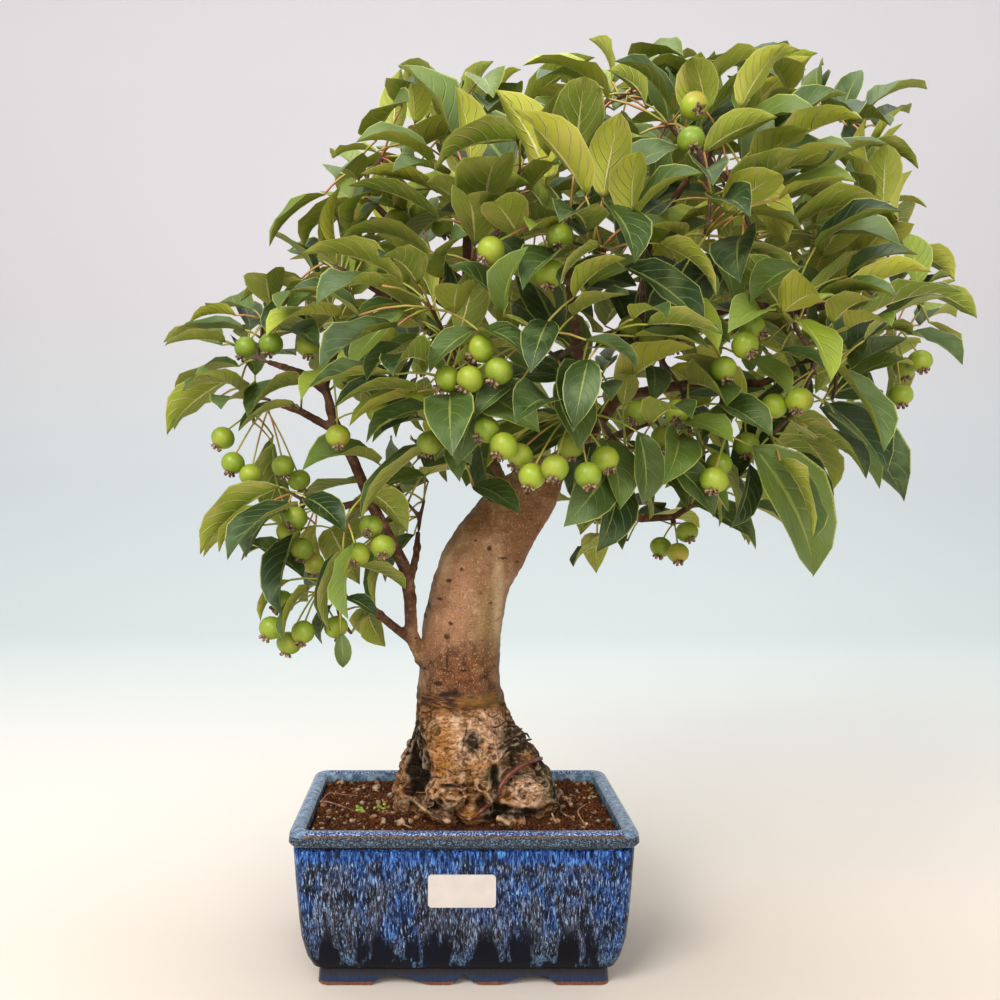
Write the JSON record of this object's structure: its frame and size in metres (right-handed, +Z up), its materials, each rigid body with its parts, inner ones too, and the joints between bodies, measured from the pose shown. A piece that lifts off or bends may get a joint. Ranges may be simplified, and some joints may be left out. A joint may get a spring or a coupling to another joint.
{
  "type": "crabapple bonsai in a pot",
  "caption": "Leaning crabapple bonsai with toothed leaves and small green fruits on long stalks, rooted in soil in a rectangular glazed pot with corner feet.",
  "frame": {"origin": "middle of the whole object's bounding box, on the plane that the pot's feet stand on", "axes": "+Z up; the pot's long front, with the label, looks along -Y; +X to the right of it, the way the trunk leans"},
  "size_m": [0.503, 0.3516, 0.5555],
  "materials": {
    "pot_glaze": "gloss",
    "label_card": "satin",
    "soil_mix": "matte",
    "screen_plastic": "matte",
    "bark": "matte",
    "leaves": "satin",
    "fruits": "satin"
  },
  "bodies": {
    "root": {"pot": "pot_glaze", "label": "label_card", "soil": "soil_mix", "drain_screen_left": "screen_plastic", "drain_screen_right": "screen_plastic", "tree_wood": "bark", "leafy_shoot_01": "leaves", "leafy_shoot_02": "leaves", "leafy_shoot_03": "leaves", "leafy_shoot_04": "leaves", "leafy_shoot_05": "leaves", "leafy_shoot_06": "leaves", "leafy_shoot_07": "leaves", "leafy_shoot_08": "leaves", "leafy_shoot_09": "leaves", "leafy_shoot_10": "leaves", "leafy_shoot_11": "leaves", "leafy_shoot_12": "leaves", "leafy_shoot_13": "leaves", "leafy_shoot_14": "leaves", "leafy_shoot_15": "leaves", "leafy_shoot_16": "leaves", "leafy_shoot_17": "leaves", "leafy_shoot_18": "leaves", "leafy_shoot_19": "leaves", "leafy_shoot_20": "leaves", "leafy_shoot_21": "leaves", "leafy_shoot_22": "leaves", "leafy_shoot_23": "leaves", "leafy_shoot_24": "leaves", "leafy_shoot_25": "leaves", "leafy_shoot_26": "leaves", "leafy_shoot_27": "leaves", "leafy_shoot_28": "leaves", "leafy_shoot_29": "leaves", "leafy_shoot_30": "leaves", "fruit_bunch_01": "fruits", "fruit_bunch_02": "fruits", "fruit_bunch_03": "fruits", "fruit_bunch_04": "fruits", "fruit_bunch_05": "fruits", "fruit_bunch_06": "fruits", "fruit_bunch_07": "fruits", "fruit_bunch_08": "fruits", "fruit_bunch_09": "fruits", "fruit_bunch_10": "fruits", "fruit_bunch_11": "fruits", "fruit_bunch_12": "fruits", "fruit_bunch_13": "fruits", "fruit_bunch_14": "fruits", "fruit_bunch_15": "fruits", "fruit_bunch_16": "fruits", "fruit_bunch_17": "fruits", "fruit_bunch_18": "fruits", "fruit_bunch_19": "fruits", "fruit_bunch_20": "fruits", "fruit_bunch_21": "fruits", "fruit_bunch_22": "fruits", "fruit_bunch_23": "fruits", "fruit_bunch_24": "fruits"}
  },
  "joints": []
}
